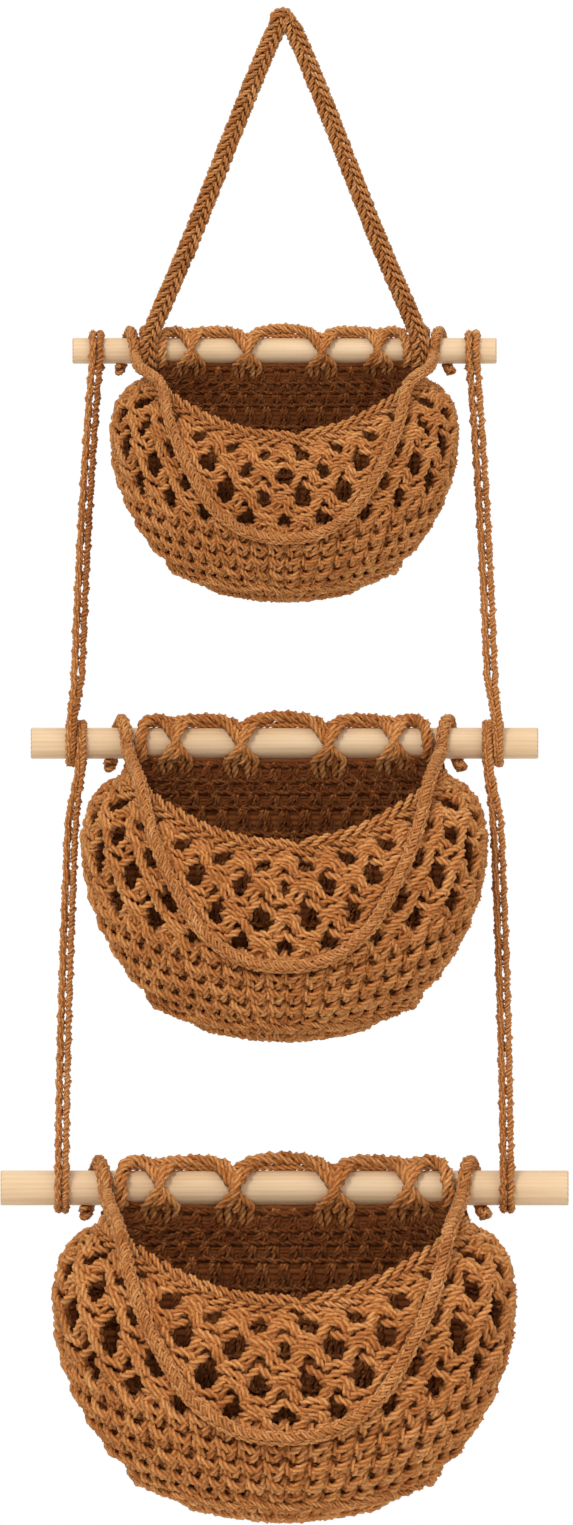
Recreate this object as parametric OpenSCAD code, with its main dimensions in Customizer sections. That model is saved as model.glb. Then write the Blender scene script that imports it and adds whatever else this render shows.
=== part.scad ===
// Three tier hanging fruit basket: crocheted half bowls on wooden dowels, joined by flat side cords.
// The origin is the inside crook of the hanging loop, +Z is up and the baskets face -Y.

/* [Dowels] */
// Length of the upper dowel
upper_dowel_length = 280; // [270:1:320]
// Length of the middle dowel
middle_dowel_length = 335; // [325:1:370]
// Length of the lower dowel
lower_dowel_length = 375; // [345:1:420]
// Diameter of the upper dowel
upper_dowel_diameter = 17; // [14:0.5:19]
// Diameter of the middle dowel
middle_dowel_diameter = 20.5; // [16:0.5:23]
// Diameter of the lower dowel
lower_dowel_diameter = 23; // [18:0.5:26]
// Bevel at each dowel end
dowel_bevel = 0.8; // [0.4:0.1:1.5]

/* [Heights] */
// From the crook of the hanging loop down to the upper dowel
upper_drop = 217; // [190:1:260]
// From the upper dowel down to the middle dowel
middle_drop = 263; // [245:1:300]
// From the middle dowel down to the lower dowel
lower_drop = 298; // [280:1:340]

/* [Baskets] */
// Width of the upper basket
upper_width = 229; // [215:1:235]
// Width of the middle basket
middle_width = 267; // [250:1:275]
// Width of the lower basket
lower_width = 305; // [285:1:315]
// Depth of the upper basket, back to front
upper_depth = 105; // [95:1:120]
// Depth of the middle basket, back to front
middle_depth = 125; // [112:1:140]
// Depth of the lower basket, back to front
lower_depth = 140; // [125:1:160]
// Height of the upper basket below its dowel
upper_height = 160; // [150:1:170]
// Height of the middle basket below its dowel
middle_height = 190; // [178:1:200]
// Height of the lower basket below its dowel
lower_height = 213; // [200:1:225]
// Thickness of the upper basket's fabric
upper_fabric = 6; // [4:0.5:7]
// Thickness of the middle basket's fabric
middle_fabric = 7; // [5:0.5:8]
// Thickness of the lower basket's fabric
lower_fabric = 8; // [6:0.5:9]

/* [Cords] */
// Diameter of the hanging loop's cord
loop_diameter = 8; // [6:0.5:9]
// Height of the pinched fold at the top of the hanging loop
loop_fold = 16; // [13:0.5:18]
// Width of the side cords
side_width = 9.5; // [7:0.5:11]
// Thickness of the side cords
side_thickness = 5; // [4:0.5:6]
// Width of one half of a side cord, where it is looped round the middle dowel
side_half_width = 5.8; // [4.5:0.1:6.5]
// Diameter of the upper basket's front strap
upper_strap_diameter = 7.2; // [5.5:0.1:8]
// Diameter of the middle basket's front strap
middle_strap_diameter = 8.4; // [6.5:0.1:9]
// Diameter of the lower basket's front strap
lower_strap_diameter = 9.4; // [7.5:0.1:10]
// Diameter of the upper basket's edge chain
upper_chain_diameter = 6; // [5:0.1:7]
// Diameter of the middle basket's edge chain
middle_chain_diameter = 7.2; // [6:0.1:8]
// Diameter of the lower basket's edge chain
lower_chain_diameter = 8; // [7:0.1:9]

/* [Fit] */
// Gap between a cord and the dowel or fabric that it lies on
lie_gap = 0.5; // [0.4:0.05:0.8]
// Gap between neighbouring cords on a dowel
slot_gap = 1.5; // [1:0.1:2.5]

/* [Hidden] */

// The three tiers in order, upper to lower
UPPER = 0;
MIDDLE = 1;
LOWER = 2;
dowel_length = [upper_dowel_length, middle_dowel_length, lower_dowel_length];
dowel_radius = [upper_dowel_diameter, middle_dowel_diameter, lower_dowel_diameter] / 2;
dowel_z = [-upper_drop, -upper_drop - middle_drop, -upper_drop - middle_drop - lower_drop];
basket_size = [[upper_width, upper_depth, upper_height],
    [middle_width, middle_depth, middle_height],
    [lower_width, lower_depth, lower_height]];
fabric = [upper_fabric, middle_fabric, lower_fabric];
strap_radius = [upper_strap_diameter, middle_strap_diameter, lower_strap_diameter] / 2;
chain_radius = [upper_chain_diameter, middle_chain_diameter, lower_chain_diameter] / 2;
loop_radius = loop_diameter / 2;

// Fabric outline from rim to bottom: half width, front and back reach and the heights at the
// side, front and back, each as a share of the basket's size, then the lift of the back corners
levels = [
    [0.81, 0.81, 0.00, 0.120, 0.310, 0.110, 1.0],
    [0.93, 0.88, 0.00, 0.160, 0.360, 0.155, 0.5],
    [0.98, 0.93, 0.00, 0.220, 0.430, 0.220, 0.2],
    [1.00, 0.975, 0.00, 0.340, 0.530, 0.340, 0],
    [0.97, 1.00, 0.00, 0.480, 0.630, 0.480, 0],
    [0.90, 0.985, 0.01, 0.620, 0.730, 0.620, 0],
    [0.79, 0.92, 0.03, 0.755, 0.820, 0.750, 0],
    [0.64, 0.80, 0.09, 0.860, 0.895, 0.860, 0],
    [0.44, 0.66, 0.20, 0.940, 0.955, 0.940, 0],
    [0.20, 0.53, 0.33, 0.985, 0.988, 0.985, 0]];
widest_share = 0.3;   // where the fabric is widest, from its back to its front
strap_leave = [0.300, 0.030];  // reach and drop, as shares, where a strap is clear of its dowel
bottom_share = 0.43;  // where the bottom of the fabric lies, back to front
corner_lift = 0.022;  // rise of the rim at its back corners, as a share of the height
front_round = 2.2;    // roundness of the front half of the plan
back_round = 4.5;     // roundness of the back half, nearly flat
around = 40;          // points round the fabric
front_phi = 270;       // angle round the fabric at the middle of its front
braid_start = 174;     // angle round the fabric at which the rim braid starts, at its left back corner
braid_lift = 0.12;     // lift of the rim braid off the rim, in fabric thicknesses

// Route of half a front strap from the rim to the middle, as shares of the basket's size
strap_route = [[0.712, 0.550, 0.070], [0.672, 0.705, 0.185],
    [0.605, 0.808, 0.315], [0.518, 0.884, 0.432], [0.420, 0.941, 0.540],
    [0.289, 0.981, 0.615], [0.151, 0.999, 0.657], [0, 1.002, 0.669]];

// Route of half an edge chain: place along the dowel as a share of the basket's width, angle
// round the dowel from its top to its front, and rise off the wood as a share of the chain
chain_route = [[0.354, 128, 0], [0.354, 90, 0], [0.352, 50, 0.1], [0.341, 15, 0.4],
    [0.320, 0, 0.8], [0.295, 5, 0.55], [0.270, 15, 0.4], [0.240, 5, 0.6], [0.200, 0, 0.8],
    [0.170, 0, 0.8], [0.135, 15, 0.5], [0.108, 38, 0.05], [0.080, 15, 0.55],
    [0.045, 0, 1.2], [0, 355, 1.6]];

// Posts that tie the fabric to the edge chain, as shares of the basket's width, with the angle
// at which a front post leaves the chain
front_posts = [[0.108, 38], [0.270, 15]];
back_posts = [0, 0.190];
post_width = 1.5;      // width of a post, in chain diameters
post_thickness = 0.7;  // thickness of a post, in chain diameters
post_end = 138;        // angle at which a post leaves the dowel for the back wall

// Angles are measured round a dowel from its top, positive towards the front
front_angle = 90;
eye_wrap = 218;        // turn of a side cord's eye past the front
hang_wrap = 290;       // turn of the hanging loop's eye past the front
strap_wrap = 305;      // turn of a front strap's hitch past the front
wrap_step = 18;        // angle between rings in a wrap
curve_steps = 2;       // stretches of a cord between two of its hand placed points

corner_x = [for (i = [0:2]) chain_route[0][0] * basket_size[i].x];
hang_x = corner_x[UPPER] + chain_radius[UPPER] + slot_gap + loop_radius;
hitch_start = [for (i = [0:2])
    corner_x[i] + chain_radius[i] + (i == UPPER ? slot_gap + loop_diameter : 0)];
strap_x = [for (i = [0:2]) hitch_start[i] + slot_gap + strap_radius[i]];
strap_end_x = [for (i = [0:2]) strap_x[i] + 3 * strap_radius[i]];

// Each side cord passes the widest point of the basket at its dowel by this much
side_margin = [9.6, 4, -5.5];
side_half_gap = 1;
side_shift = (side_half_width + side_half_gap) / 2;
side_x = [for (i = [0:2]) max(basket_size[i].x / 2 + side_margin[i],
    strap_end_x[i] + strap_radius[i] + slot_gap + side_shift + side_half_width / 2)];
side_bow = 1.8;        // how far the side cords bow outwards between two dowels
side_neck = 20;        // distance from a dowel at which a halved cord becomes whole
side_taper = 25;       // length of the taper between the half and the whole cord

rope_color = [0.62, 0.40, 0.22];
shade_color = [0.50, 0.30, 0.15];
wood_color = [0.95, 0.82, 0.64];

function mix(a, b, t) = a + (b - a) * t;
function unit(v) = v / norm(v);
function flip(p) = [-p.x, p.y, p.z];
function reversed(list) = [for (i = [len(list) - 1:-1:0]) list[i]];
function sign_of(x) = x < 0 ? -1 : 1;

// A smooth curve through hand placed points, with steps points for each stretch
function curve_point(p, i, t) =
    let (a = p[max(i - 1, 0)], b = p[i], c = p[i + 1], d = p[min(i + 2, len(p) - 1)])
    (2 * b + (c - a) * t + (2 * a - 5 * b + 4 * c - d) * t * t
        + (3 * b - a - 3 * c + d) * t * t * t) / 2;
function curve(p, steps) = concat(
    [for (i = [0:len(p) - 2]) for (k = [0:steps - 1]) curve_point(p, i, k / steps)],
    [p[len(p) - 1]]);

// A point round a dowel, at an angle from its top towards its front
function round_dowel(x, z, radius, angle) = [x, -radius * sin(angle), z + radius * cos(angle)];

// One closed ring of the fabric: phi runs from the right through the back, left and front
function fabric_point(size, wall, level, phi) =
    let (half = (size.x / 2 - wall) * level[0],
        front = -(size.y - wall) * level[1],
        back = -(wall + (size.y - 2 * wall) * level[2]),
        height = size.z - wall,
        middle = mix(back, front, widest_share),
        c = cos(phi), s = sin(phi),
        power = 2 / (s < 0 ? front_round : back_round),
        reach = pow(abs(s), power),
        side_to_back = mix(level[3], level[5], s * s) - corner_lift * level[6] * 4 * s * s * (1 - s * s),
        side_to_front = mix(level[3], level[4], pow(abs(s), 2.5)))
    [half * sign_of(c) * pow(abs(c), power),
        s < 0 ? mix(middle, front, reach) : mix(middle, back, reach),
        -height * (s < 0 ? side_to_front : side_to_back)];
function fabric_bottom(size, wall) =
    [0, -(wall + (size.y - 2 * wall) * bottom_share), -(size.z - wall)];
function fabric_points(size, wall) =
    [for (level = levels) for (k = [0:around - 1]) fabric_point(size, wall, level, k * 360 / around)];

// A tube through rings, each a centre with the two half axes of its section
module tube(rings, sides) {
    count = len(rings);
    points = [for (ring = rings) for (k = [0:sides - 1])
        ring[0] + ring[1] * cos(k * 360 / sides) + ring[2] * sin(k * 360 / sides)];
    walls = [for (i = [0:count - 2]) for (k = [0:sides - 1])
        let (a = i * sides + k, b = i * sides + (k + 1) % sides)
        each [[a, a + sides, b], [b, a + sides, b + sides]]];
    ends = [[for (k = [0:sides - 1]) k],
        [for (k = [sides - 1:-1:0]) (count - 1) * sides + k]];
    polyhedron(points = points, faces = concat(walls, ends));
}

function direction(path, i) = unit(path[min(i + 1, len(path) - 1)] - path[max(i - 1, 0)]);
function across(v, along) = unit(v - (v * along) * along);

// Rings square to a path: the first half axis starts along a given side and is carried on
function rings_along(path, side, half_sizes) =
    let (sides = [for (i = 0, n = across(side, direction(path, 0)); i < len(path);
            i = i + 1, n = i < len(path) ? across(n, direction(path, i)) : n) n])
    [for (i = [0:len(path) - 1])
        let (size = is_num(half_sizes) ? [half_sizes, half_sizes]
            : is_num(half_sizes[0]) ? half_sizes : half_sizes[i])
        [path[i], sides[i] * size[0], cross(direction(path, i), sides[i]) * size[1]]];

module dowel(i) {
    length = dowel_length[i];
    radius = dowel_radius[i];
    color(wood_color) translate([-length / 2, 0, dowel_z[i]]) rotate([90, 0, 90])
        rotate_extrude($fn = 64) polygon([[0, 0], [radius - dowel_bevel, 0], [radius, dowel_bevel],
            [radius, length - dowel_bevel], [radius - dowel_bevel, length], [0, length]]);
}

module basket(i) {
    size = basket_size[i];
    wall = fabric[i];
    rings = len(levels);
    outer_count = rings * around + 1;
    points = concat(fabric_points(size, 0), [fabric_bottom(size, 0)],
        fabric_points(size, wall), [fabric_bottom(size, wall)]);
    skin = [for (j = [0:rings - 2]) for (k = [0:around - 1])
        let (a = j * around + k, b = j * around + (k + 1) % around)
        each [[a, b, a + around], [b, b + around, a + around]]];
    floor = [for (k = [0:around - 1])
        [(rings - 1) * around + k, (rings - 1) * around + (k + 1) % around, rings * around]];
    outer = concat(skin, floor);
    inner = [for (face = outer) [face[0], face[2], face[1]] + outer_count * [1, 1, 1]];
    rim = [for (k = [0:around - 1])
        let (a = k, b = (k + 1) % around)
        each [[b, a, a + outer_count], [b, a + outer_count, b + outer_count]]];
    color(rope_color) translate([0, 0, dowel_z[i]])
        polyhedron(points = points, faces = concat(outer, inner, rim));
}

// The braid lies on the rim from one back corner round the front to the other
module rim_braid(i) {
    size = basket_size[i];
    wall = fabric[i];
    height = wall / 2;
    lift = height + lie_gap + wall * braid_lift;
    steps = 30;
    path = [for (k = [0:steps])
        let (phi = mix(braid_start, front_phi * 2 - braid_start, k / steps))
        mix(fabric_point(size, 0, levels[0], phi), fabric_point(size, wall, levels[0], phi), 0.5)
            + [0, 0, dowel_z[i] + lift]];
    color(rope_color) tube(rings_along(path, [0, 0, 1], [height, wall * 0.55]), 8);
}

module edge_chain(i) {
    radius = chain_radius[i];
    seat = dowel_radius[i] + lie_gap + radius;
    half = [for (p = chain_route)
        [p[0] * basket_size[i].x, p[1] > 180 ? p[1] - 360 : p[1], seat + p[2] * radius]];
    route = concat([for (p = half) [-p[0], p[1], p[2]]],
        [for (k = [len(half) - 2:-1:0]) half[k]]);
    path = [for (p = curve(route, curve_steps)) round_dowel(p[0], dowel_z[i], p[2], p[1])];
    color(rope_color) tube(rings_along(path, [1, 0, 0], radius), 6);
}

// Height of the back wall's top at a place along the dowel
function back_top(size, x) =
    let (c = pow(abs(x) / (size.x / 2 * levels[0][0]), back_round / 2))
    fabric_point(size, 0, levels[0], acos(c)).z;

// A post follows the dowel's surface from the edge chain down to the top of the back wall
module post(i, x, from_angle, to_angle) {
    half_thickness = post_thickness * chain_radius[i];
    radius = dowel_radius[i] + 1.25 * lie_gap + half_thickness;
    steps = 6;
    arc = [for (k = [0:steps]) round_dowel(x, 0, radius, mix(from_angle, to_angle, k / steps))];
    foot = [x, -fabric[i] / 2, back_top(basket_size[i], x) + half_thickness + lie_gap];
    path = concat(arc, [foot]);
    color(shade_color) translate([0, 0, dowel_z[i]])
        tube(rings_along(path, [1, 0, 0], [post_width * chain_radius[i], half_thickness]), 6);
}

module dowel_loops(i) {
    clear_angle = (2 * chain_radius[i] + lie_gap) / (dowel_radius[i] + chain_radius[i])
        * 180 / PI * 0.62;
    for (side = [-1, 1]) {
        for (p = front_posts)
            post(i, side * p[0] * basket_size[i].x, p[1] + clear_angle, post_end);
        post(i, side * back_posts[1] * basket_size[i].x, -clear_angle, -post_end);
    }
    post(i, back_posts[0], -clear_angle - 10, -post_end);
}

// The strap hangs round the front of the basket, and each end is hitched round the dowel
module front_strap(i) {
    size = basket_size[i];
    radius = strap_radius[i];
    seat = dowel_radius[i] + lie_gap + radius;
    turns = floor(strap_wrap / wrap_step);
    hitch = [for (k = [turns:-1:0])
        round_dowel(-mix(strap_x[i], strap_end_x[i], max(k - 1, 0) / (turns - 1)), 0, seat,
            front_angle - k * wrap_step)];
    leave_x = (strap_x[i] - 0.8 * radius) / (size.x / 2);
    route = concat([[leave_x, strap_leave[0], strap_leave[1]]], strap_route);
    leg = curve([for (p = route)
        [-p.x * size.x / 2, -p.y * size.y - radius - lie_gap, -p.z * size.z]], curve_steps);
    half = concat(hitch, leg);
    path = concat(half, [for (k = [len(half) - 2:-1:0]) flip(half[k])]);
    color(rope_color) translate([0, 0, dowel_z[i]])
        tube(rings_along(path, [1, 0, 0], radius), 8);
}

// The hanging loop: a pinched fold at the crook, two legs, and an eye round the upper dowel
module hanging_loop() {
    seat = dowel_radius[UPPER] + lie_gap + loop_radius;
    z = dowel_z[UPPER];
    turns = floor(hang_wrap / wrap_step);
    leg_top = [-0.055 * hang_x * 2, 0, -0.048 * upper_drop];
    leg = curve([leg_top, [-0.32 * hang_x, -0.2 * seat, 0.26 * z],
        [-0.68 * hang_x, -0.6 * seat, 0.64 * z], [-0.94 * hang_x, -seat, 0.89 * z],
        [-hang_x, -seat, 0.96 * z]], 3);
    eye = [for (k = [0:turns]) round_dowel(-hang_x, z, seat, front_angle + k * wrap_step)];
    path = concat(leg, eye);
    down = rings_along(path, [-1, 0, 0], loop_radius);
    fold_angle = 66;
    fold_step = 11;
    crook = 0.4;
    fold = [for (angle = [-fold_angle:fold_step:fold_angle])
        let (reach = mix(loop_fold, 2 * loop_radius + 2 * crook, pow(abs(angle) / fold_angle, 1.3)) / 2,
            out = [sin(angle), 0, cos(angle)])
        [out * reach, out * (reach - crook), [0, loop_radius, 0]]];
    left = reversed(down);
    right = [for (ring = down) [flip(ring[0]), flip(ring[1]), flip(ring[2])]];
    color(rope_color) tube(concat(left, fold, right), 8);
}

// Half sizes of a side cord at a distance from a dowel where it is halved
function side_half(distance) =
    [mix(side_half_width, side_width, min(max((distance - side_neck) / side_taper, 0), 1)) / 2,
        side_thickness / 2];

// A side cord between two dowels, on the left, with an eye round each of them
module side_cord(i, top_halved, bottom_halved) {
    top_seat = dowel_radius[i] + lie_gap + side_thickness / 2;
    bottom_seat = dowel_radius[i + 1] + lie_gap + side_thickness / 2;
    top_x = side_x[i] - (top_halved ? side_shift : 0);
    bottom_x = side_x[i + 1] + (bottom_halved ? side_shift : 0);
    turns = floor(eye_wrap / wrap_step);
    drop = dowel_z[i] - dowel_z[i + 1];
    top_eye = [for (k = [turns + 5:-1:0])
        round_dowel(-top_x, dowel_z[i], top_seat, front_angle - k * wrap_step)];
    places = [0.06, 0.16, 0.28, 0.4, 0.52, 0.64, 0.74, 0.84, 0.94];
    run = [for (t = places)
        let (x = mix(side_x[i], side_x[i + 1], t) + side_bow * 4 * t * (1 - t),
            top_share = top_halved ? max(1 - (t * drop - side_neck) / side_taper, 0) : 0,
            bottom_share = bottom_halved ? max(1 - ((1 - t) * drop - side_neck) / side_taper, 0) : 0)
        [-(x + (min(bottom_share, 1) - min(top_share, 1)) * side_shift),
            -mix(top_seat, bottom_seat, t), dowel_z[i] - t * drop]];
    bottom_eye = [for (k = [0:turns + 5])
        round_dowel(-bottom_x, dowel_z[i + 1], bottom_seat, front_angle + k * wrap_step)];
    path = concat(top_eye, run, bottom_eye);
    halves = [for (p = path)
        let (from_top = max(dowel_z[i] - p.z, 0), from_bottom = max(p.z - dowel_z[i + 1], 0),
            narrow = min(top_halved ? from_top : drop, bottom_halved ? from_bottom : drop))
        side_half(narrow)];
    color(rope_color) tube(rings_along(path, [1, 0, 0], halves), 8);
}

hanging_loop();
side_cord(UPPER, false, true);  // left_upper_side_cord
mirror([1, 0, 0]) side_cord(UPPER, false, true);  // right_upper_side_cord
side_cord(MIDDLE, true, false);  // left_lower_side_cord
mirror([1, 0, 0]) side_cord(MIDDLE, true, false);  // right_lower_side_cord
dowel(UPPER);  // upper_dowel
basket(UPPER);  // upper_basket
rim_braid(UPPER);  // upper_rim_braid
edge_chain(UPPER);  // upper_edge_chain
dowel_loops(UPPER);  // upper_dowel_loops
front_strap(UPPER);  // upper_front_strap
dowel(MIDDLE);  // middle_dowel
basket(MIDDLE);  // middle_basket
rim_braid(MIDDLE);  // middle_rim_braid
edge_chain(MIDDLE);  // middle_edge_chain
dowel_loops(MIDDLE);  // middle_dowel_loops
front_strap(MIDDLE);  // middle_front_strap
dowel(LOWER);  // lower_dowel
basket(LOWER);  // lower_basket
rim_braid(LOWER);  // lower_rim_braid
edge_chain(LOWER);  // lower_edge_chain
dowel_loops(LOWER);  // lower_dowel_loops
front_strap(LOWER);  // lower_front_strap
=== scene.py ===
# Hanging fruit basket, dressed: crocheted yarn, braided and chained cords and wooden dowels.
import math

import bmesh
import bpy
import numpy as np
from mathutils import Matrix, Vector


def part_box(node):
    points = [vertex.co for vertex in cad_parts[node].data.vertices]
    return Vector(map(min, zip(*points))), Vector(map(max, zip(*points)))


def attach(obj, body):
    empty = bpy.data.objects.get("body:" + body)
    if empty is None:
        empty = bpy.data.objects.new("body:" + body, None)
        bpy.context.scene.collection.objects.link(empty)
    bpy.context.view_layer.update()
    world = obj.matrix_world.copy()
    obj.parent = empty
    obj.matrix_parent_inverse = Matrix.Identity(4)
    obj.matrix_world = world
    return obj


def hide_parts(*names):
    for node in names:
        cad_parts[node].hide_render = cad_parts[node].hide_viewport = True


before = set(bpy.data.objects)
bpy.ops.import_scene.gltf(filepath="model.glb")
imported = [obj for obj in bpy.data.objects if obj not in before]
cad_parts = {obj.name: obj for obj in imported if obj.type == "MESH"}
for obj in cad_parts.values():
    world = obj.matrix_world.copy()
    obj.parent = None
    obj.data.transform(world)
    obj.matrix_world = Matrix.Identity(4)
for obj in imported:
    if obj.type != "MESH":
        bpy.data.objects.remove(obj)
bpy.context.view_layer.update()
scene = bpy.context.scene
rng = np.random.default_rng(11)

MM = 0.001
UPPER, MIDDLE, LOWER = range(3)
TIERS = ("upper", "middle", "lower")

# The picture's height in pixels, the size of a pixel, and the point it looks at in millimetres
PICTURE_ROWS = 1525
PIXEL = 0.66 * MM
LOOK_ACROSS, LOOK_UP = 1.3, -485.4
LOOK_RISE = math.radians(10)
LOOK_DISTANCE = 3


def camera():
    """Square on to the object and ten degrees above it, with parallel lines kept parallel."""
    centre = np.array([LOOK_ACROSS * MM, 0, LOOK_UP * MM / math.cos(LOOK_RISE)])
    place = centre + LOOK_DISTANCE * np.array([0, -math.cos(LOOK_RISE), math.sin(LOOK_RISE)])
    data = bpy.data.cameras.new("camera")
    data.type = "ORTHO"
    data.sensor_fit = "VERTICAL"
    data.ortho_scale = PICTURE_ROWS * PIXEL
    made = bpy.data.objects.new("camera", data)
    made.location = place
    made.rotation_euler = (math.pi / 2 - LOOK_RISE, 0, 0)
    scene.collection.objects.link(made)
    scene.camera = made


camera()

# Sizes in millimetres, as in the part's source
dowel_box = [[1000 * np.array(corner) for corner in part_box(f"{tier}_dowel")] for tier in TIERS]
dowel_radius = [(high[2] - low[2]) / 2 for low, high in dowel_box]
dowel_z = [(high[2] + low[2]) / 2 for low, high in dowel_box]
basket_box = [[1000 * np.array(corner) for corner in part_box(f"{tier}_basket")] for tier in TIERS]
basket_size = [(2 * high[0], -low[1], z - low[2]) for (low, high), z in zip(basket_box, dowel_z)]
# A fabric's thickness and each cord's radius, from the upper to the lower tier where there are three
fabric = (6, 7, 8)
strap_radius = (3.6, 4.2, 4.7)
chain_radius = (3, 3.6, 4)
loop_radius = 4
loop_fold = 16
side_width = 9.5
side_thickness = 5
side_half_width = 5.8
lie_gap = 0.5
slot_gap = 1.5
yarn_radius = (1.8, 2.14, 2.4)
# How far the side cords lie outside the baskets' widest places
side_reach = (9.6, 4, -5.5)

# A basket's levels from rim to bottom: shares of the half width, of the depth in front and of the
# depth at the back, how far down its sides, front and back lie, and how much its corners lift
LEVELS = np.array([
    [0.81, 0.81, 0.00, 0.120, 0.310, 0.110, 1.0],
    [0.93, 0.88, 0.00, 0.160, 0.360, 0.155, 0.5],
    [0.98, 0.93, 0.00, 0.220, 0.430, 0.220, 0.2],
    [1.00, 0.975, 0.00, 0.340, 0.530, 0.340, 0],
    [0.97, 1.00, 0.00, 0.480, 0.630, 0.480, 0],
    [0.90, 0.985, 0.01, 0.620, 0.730, 0.620, 0],
    [0.79, 0.92, 0.03, 0.755, 0.820, 0.750, 0],
    [0.64, 0.80, 0.09, 0.860, 0.895, 0.860, 0],
    [0.44, 0.66, 0.20, 0.940, 0.955, 0.940, 0],
    [0.20, 0.53, 0.33, 0.985, 0.988, 0.985, 0],
    [0.01, 0.435, 0.425, 1.0, 1.0, 1.0, 0]])
WIDEST_SHARE = 0.3
CORNER_LIFT = 0.022
FRONT_ROUND = 2.2
BACK_ROUND = 4.5
CORNER_SHARE = 0.354

# The strap's line in shares of a basket's half width, depth and height, from side to middle
STRAP_ROUTE = [(0.712, 0.550, 0.070), (0.672, 0.705, 0.185), (0.605, 0.808, 0.315),
    (0.518, 0.884, 0.432), (0.420, 0.941, 0.540), (0.289, 0.981, 0.615), (0.151, 0.999, 0.657),
    (0, 1.002, 0.669)]
# The edge chain's line: shares of a basket's width, degrees down the dowel's front, lift in radii
CHAIN_ROUTE = [(0.354, 128, 0), (0.354, 90, 0), (0.352, 50, 0.1), (0.341, 15, 0.4),
    (0.320, 0, 0.8), (0.295, 5, 0.55), (0.270, 15, 0.4), (0.240, 5, 0.6), (0.200, 0, 0.8),
    (0.170, 0, 0.8), (0.135, 15, 0.5), (0.108, 38, 0.05), (0.080, 15, 0.55), (0.045, 0, 1.2),
    (0, -5, 1.6)]
# The posts' places in shares of a basket's width, with the degrees at which they start and end
FRONT_POSTS = ((0.108, 38), (0.270, 15))
BACK_POST = 0.190
BACK_POST_START = -6
POST_END = 138
# How far a post's crossed strands lie from its middle, in strand radii, at shares of its length
POST_SHARES = (-0.36, 0.0, 0.30, 0.62, 0.85, 1.0)
FRONT_SWING = (4.4, 2.7, 1.2, -1.1, -2.6, -3.4)
BACK_SWING = (0.9, 0.9, 1.7, 0.4, -1.6, -2.8)
# How far each cord turns round a dowel, the step between two points there, and half the turn of
# the hanging loop's crook, in degrees
WRAP_STEP = 18
STRAP_WRAP = 305
LOOP_WRAP = 290
SIDE_WRAP = 218
CROOK_TURN = 66

corner_x = [CORNER_SHARE * size[0] for size in basket_size]
hang_x = corner_x[UPPER] + chain_radius[UPPER] + slot_gap + loop_radius
strap_x = [corner_x[i] + chain_radius[i] + (slot_gap + 2 * loop_radius if i == UPPER else 0)
    + slot_gap + strap_radius[i] for i in range(3)]
strap_end_x = [strap_x[i] + 3 * strap_radius[i] for i in range(3)]
side_shift = (side_half_width + 1) / 2
side_x = [max(basket_size[i][0] / 2 + side_reach[i],
    strap_end_x[i] + strap_radius[i] + slot_gap + side_shift + side_half_width / 2)
    for i in range(3)]


def mix(a, b, share):
    """The value a share of the way from a to b."""
    return a + (b - a) * share


def curve(points, steps):
    """A smooth line through given points, with steps stretches between two of them."""
    p = np.asarray(points, float)
    padded = np.vstack([p[:1], p, p[-1:]])
    t = np.arange(steps)[:, None] / steps
    made = []
    for a, b, c, d in zip(padded, padded[1:], padded[2:], padded[3:]):
        made.append((2 * b + (c - a) * t + (2 * a - 5 * b + 4 * c - d) * t * t
            + (3 * b - a - 3 * c + d) * t ** 3) / 2)
    return np.vstack(made + [p[-1:]])


def evenly(points, step):
    """The same line with points one step apart."""
    lengths = np.concatenate([[0], np.cumsum(np.linalg.norm(np.diff(points, axis=0), axis=1))])
    count = max(4, int(round(lengths[-1] / step)) + 1)
    places = np.linspace(0, lengths[-1], count)
    return np.stack([np.interp(places, lengths, points[:, k]) for k in range(3)], axis=1)


def round_dowel(x, z, radius, angle):
    """Points at a distance from a dowel's middle, at degrees from its top towards the front."""
    turn = np.radians(angle)
    return np.stack(np.broadcast_arrays(x, -radius * np.sin(turn), z + radius * np.cos(turn)),
        axis=-1).astype(float)


def flipped(points):
    """The mirror image on the object's other half."""
    return points * np.array([-1, 1, 1])


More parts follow.
